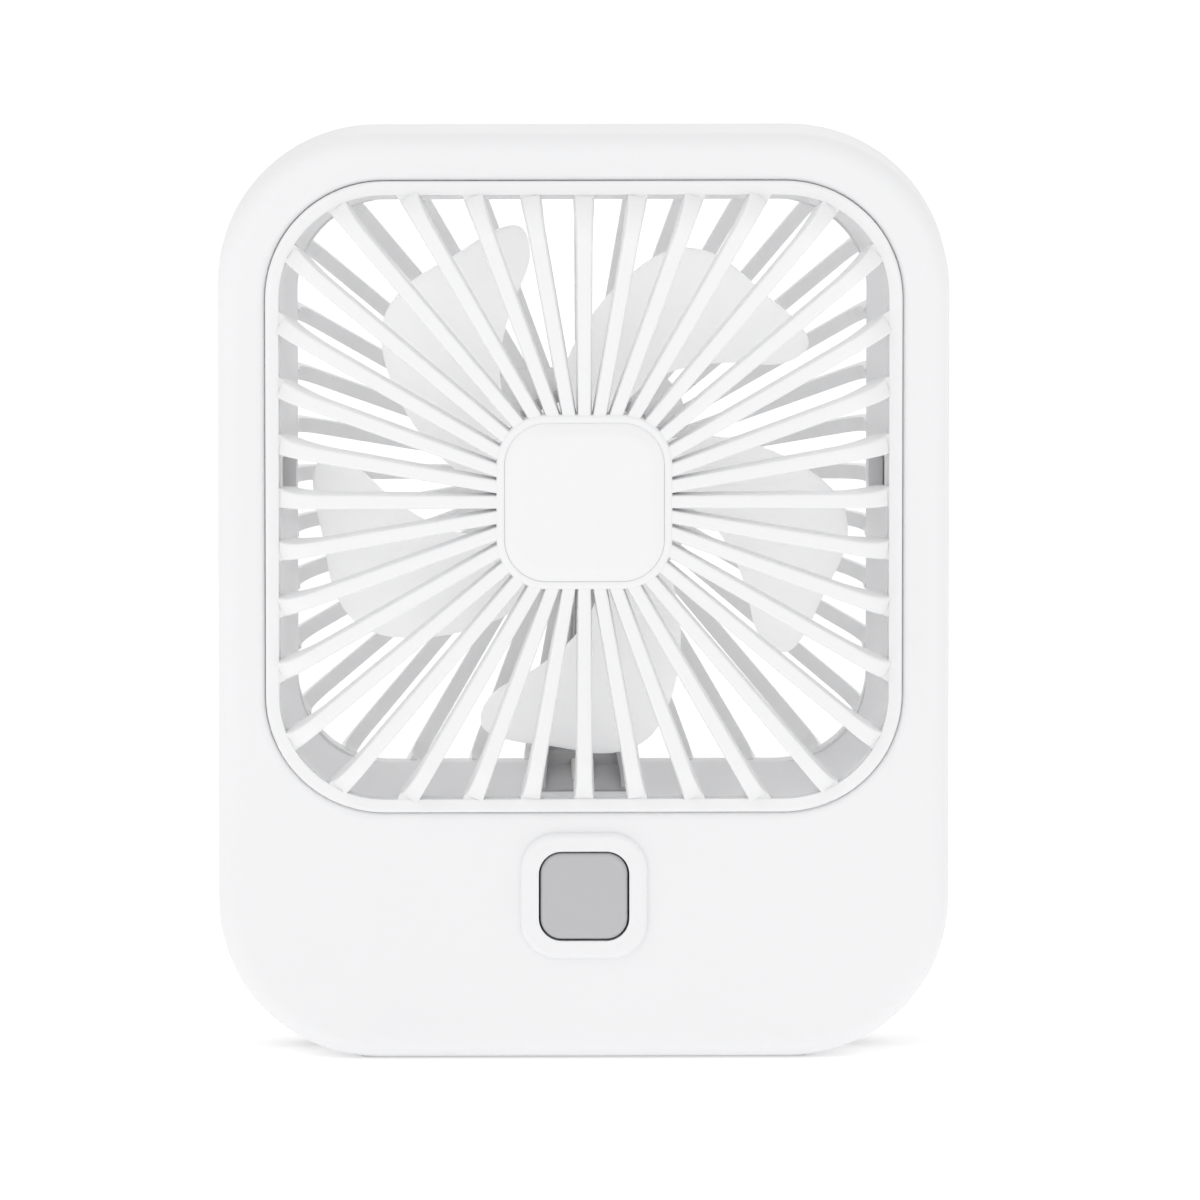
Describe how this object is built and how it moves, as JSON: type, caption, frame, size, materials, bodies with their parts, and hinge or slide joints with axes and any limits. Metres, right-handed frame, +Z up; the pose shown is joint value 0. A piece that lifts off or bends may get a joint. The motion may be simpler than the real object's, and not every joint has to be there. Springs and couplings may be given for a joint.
{
  "type": "desk fan",
  "caption": "Flat rounded desk fan with a square grille of radial bars, a push button below it and a folding stand.",
  "frame": {"origin": "middle of the footprint, on the surface the fan stands on", "axes": "+Z up; the front and its grille face -Y; +X is to the right as seen from the front"},
  "size_m": [0.11, 0.0376, 0.1407],
  "materials": {
    "white_plastic": "fine matte moulding",
    "gray_plastic": "matte",
    "blade_plastic": "smooth, slightly translucent",
    "steel": "plain turned",
    "laminated_steel": "stacked sheet",
    "ferrite": "matte",
    "copper": "enamelled wire",
    "bearing_bronze": "sintered",
    "circuit_board": "solder mask",
    "black_plastic": "moulded",
    "pouch_foil": "foil laminate",
    "foam_tape": "open foam",
    "soft_pad": "soft silicone",
    "red_wire": "insulation",
    "white_wire": "insulation"
  },
  "bodies": {
    "case": {"front_shell": "white_plastic", "rear_shell": "white_plastic", "front_grille": "white_plastic", "grille_hub_cap": "white_plastic", "rear_grille": "white_plastic", "motor_bracket": "gray_plastic", "bearing_tube": "bearing_bronze", "shaft_bearings": "bearing_bronze", "stator_core": "laminated_steel", "stator_coils": "copper", "motor_board": "circuit_board", "tact_switch": "black_plastic", "control_board": "circuit_board", "board_components": "black_plastic", "usb_port_shell": "steel", "usb_port_tongue": "black_plastic", "battery_cell": "pouch_foil", "battery_foam": "foam_tape", "motor_leads": "white_wire", "battery_leads": "red_wire", "case_screws": "steel", "bracket_screws": "steel", "board_screws": "steel", "base_pad": "soft_pad"},
    "rotor": {"rotor": "blade_plastic", "rotor_yoke": "steel", "rotor_magnet": "ferrite", "motor_shaft": "steel", "shaft_clip": "steel"},
    "button": {"button_cap": "gray_plastic", "switch_plunger": "black_plastic"},
    "stand": {"stand": "gray_plastic", "stand_pins": "steel", "stand_washers": "steel", "stand_pad": "soft_pad"}
  },
  "joints": [
    {"name": "rotor_spin", "type": "hinge", "parent": "case", "child": "rotor", "pos_m": [0, 0, 0.08575], "axis": [0, 1, 0], "continuous": true},
    {"name": "button_press", "type": "slide", "parent": "case", "child": "button", "axis": [0, 1, 0], "range_m": [0, 0.0006], "stiffness_N_per_m": 2500},
    {"name": "stand_swing", "type": "hinge", "parent": "case", "child": "stand", "pos_m": [0, 0.0052, 0.08575], "axis": [1, 0, 0], "range_deg": [0, 180]}
  ]
}
